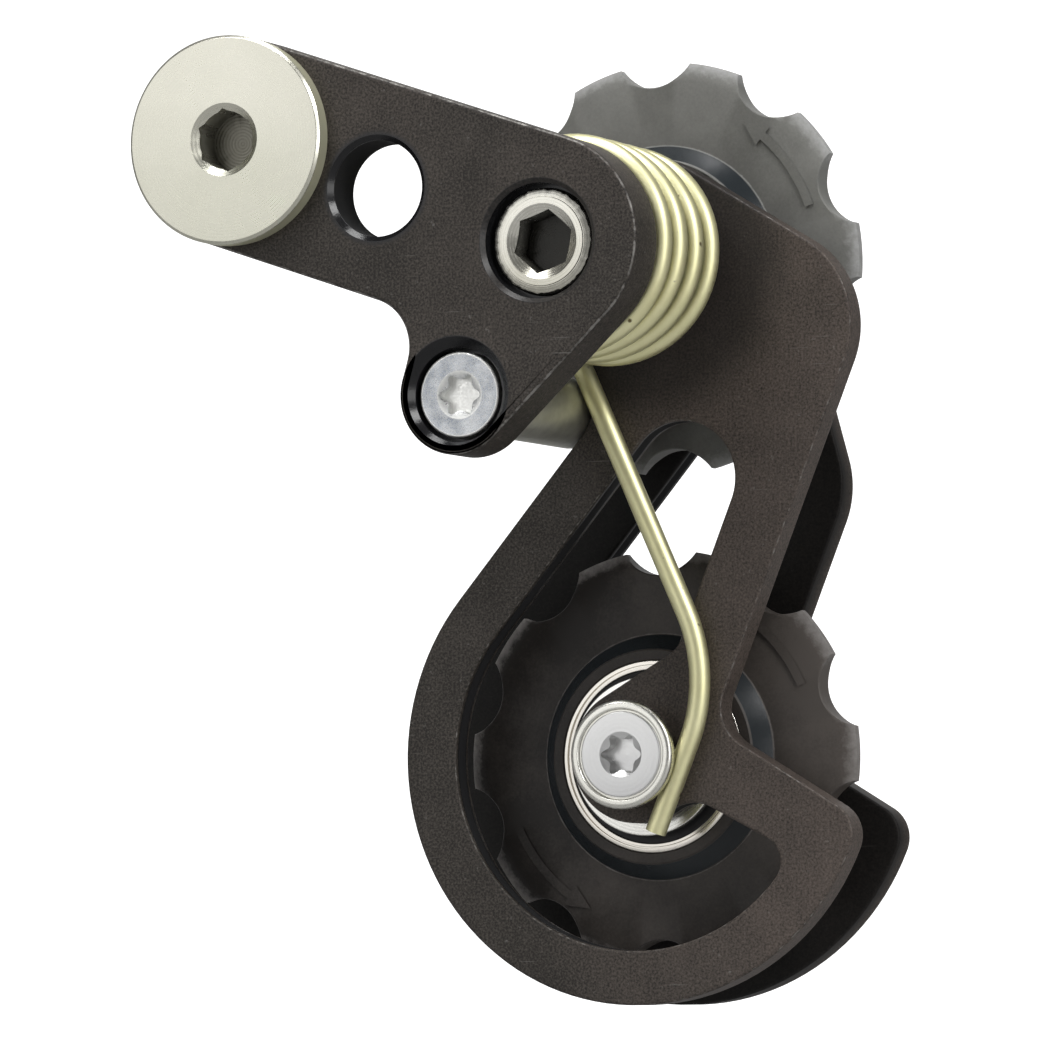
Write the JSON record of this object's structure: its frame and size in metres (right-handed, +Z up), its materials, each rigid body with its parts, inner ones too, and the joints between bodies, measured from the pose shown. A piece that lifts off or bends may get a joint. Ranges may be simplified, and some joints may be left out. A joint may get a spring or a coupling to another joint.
{
  "type": "bicycle chain tensioner",
  "caption": "Bolt-on chain tensioner: a flat arm with a pivoting sprung cage that carries a guide pulley and a tension pulley between two ring plates.",
  "frame": {"origin": "on the hanger bolt's axis, on the arm's back face, which seats on the frame's hanger", "axes": "+X forward along the bicycle, +Y along the bolt towards the wheel, +Z up"},
  "size_m": [0.0598, 0.043, 0.0865],
  "materials": {
    "black_anodised": "black anodised over a fine blasted surface, bright at worn edges",
    "nickel_steel": "satin nickel plate",
    "axle_steel": "turned steel",
    "zinc_steel": "bright zinc plate, slightly blue",
    "turned_steel": "turned, plated",
    "pin_steel": "ground steel, dull",
    "clip_steel": "oiled spring steel",
    "spring_wire": "pale yellow zinc plate",
    "upper_pulley_plastic": "moulded, dark grey",
    "lower_pulley_plastic": "moulded, black",
    "guide_plastic": "moulded, black",
    "bearing_steel": "ground and polished",
    "retainer_plastic": "moulded nylon",
    "seal_rubber": "moulded, matt"
  },
  "bodies": {
    "arm": {"hanger_arm": "black_anodised", "hanger_bolt": "nickel_steel", "bolt_clip": "clip_steel", "pivot_axle": "axle_steel", "stop_screw": "zinc_steel", "stop_pin": "pin_steel", "spring_guide": "guide_plastic", "front_thrust_washer": "guide_plastic", "back_thrust_washer": "guide_plastic", "end_washer": "axle_steel", "end_screw": "zinc_steel"},
    "cage": {"outer_plate": "black_anodised", "inner_plate": "black_anodised", "cage_sleeve": "axle_steel", "upper_outer_spacer": "turned_steel", "upper_inner_spacer": "turned_steel", "lower_outer_spacer": "turned_steel", "lower_inner_spacer": "turned_steel", "lower_axle_sleeve": "axle_steel", "lower_axle_screw": "zinc_steel", "spring_collar": "turned_steel", "lower_axle_nut": "zinc_steel", "upper_inner_race": "bearing_steel", "lower_inner_race": "bearing_steel", "torsion_spring": "spring_wire"},
    "upper_wheel": {"upper_pulley": "upper_pulley_plastic", "upper_outer_race": "bearing_steel", "upper_seals": "seal_rubber"},
    "lower_wheel": {"lower_pulley": "lower_pulley_plastic", "lower_outer_race": "bearing_steel", "lower_seals": "seal_rubber"},
    "upper_ball_set": {"upper_balls": "bearing_steel", "upper_retainer": "retainer_plastic"},
    "lower_ball_set": {"lower_balls": "bearing_steel", "lower_retainer": "retainer_plastic"}
  },
  "joints": [
    {"name": "cage_pivot", "type": "hinge", "parent": "arm", "child": "cage", "pos_m": [0.0297, 0, -0.01], "axis": [0, -1, 0], "range_deg": [0, 85], "stiffness_Nm_per_rad": 0.56, "springref_deg": -45.84, "deforming": ["torsion_spring"]},
    {"name": "upper_pulley_spin", "type": "hinge", "parent": "cage", "child": "upper_wheel", "pos_m": [0.0297, 0, -0.01], "axis": [0, -1, 0], "continuous": true},
    {"name": "lower_pulley_spin", "type": "hinge", "parent": "cage", "child": "lower_wheel", "pos_m": [0.02935, 0, -0.0546], "axis": [0, -1, 0], "continuous": true},
    {"name": "upper_balls_roll", "type": "hinge", "parent": "cage", "child": "upper_ball_set", "pos_m": [0.0297, 0, -0.01], "axis": [0, -1, 0], "continuous": true},
    {"name": "lower_balls_roll", "type": "hinge", "parent": "cage", "child": "lower_ball_set", "pos_m": [0.02935, 0, -0.0546], "axis": [0, -1, 0], "continuous": true}
  ],
  "couplings": [
    {"joint": "upper_balls_roll", "follows": "upper_pulley_spin", "ratio": 0.5842},
    {"joint": "lower_balls_roll", "follows": "lower_pulley_spin", "ratio": 0.6249}
  ]
}
